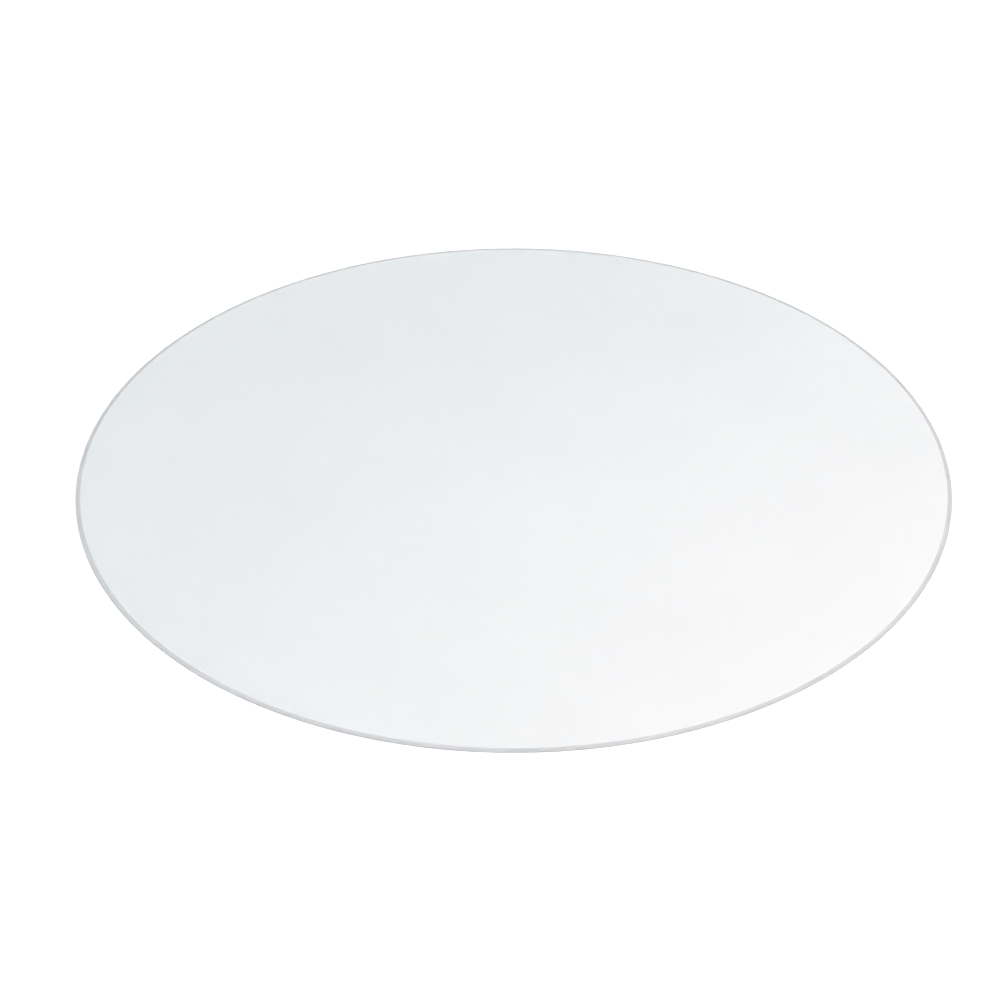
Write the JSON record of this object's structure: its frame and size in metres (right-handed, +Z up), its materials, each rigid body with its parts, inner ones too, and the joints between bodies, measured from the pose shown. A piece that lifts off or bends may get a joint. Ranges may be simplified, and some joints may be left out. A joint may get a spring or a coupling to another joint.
{
  "type": "round chair mat",
  "caption": "Round clear floor mat for a desk chair on castors: a satin polycarbonate disc with a bevelled rim, bonded to a clear grip film.",
  "frame": {"origin": "centre of the mat's underside, on the floor", "axes": "+Z up, square to the mat and its axis of revolution; X and Y lie in the floor and are interchangeable"},
  "size_m": [1.1998, 1.2, 0.0025],
  "materials": {
    "clear_polycarbonate": "satin",
    "clear_adhesive": "gloss",
    "clear_elastomer": "matte"
  },
  "bodies": {
    "root": {"mat_sheet": "clear_polycarbonate", "bond_layer": "clear_adhesive", "grip_film": "clear_elastomer"}
  },
  "joints": []
}
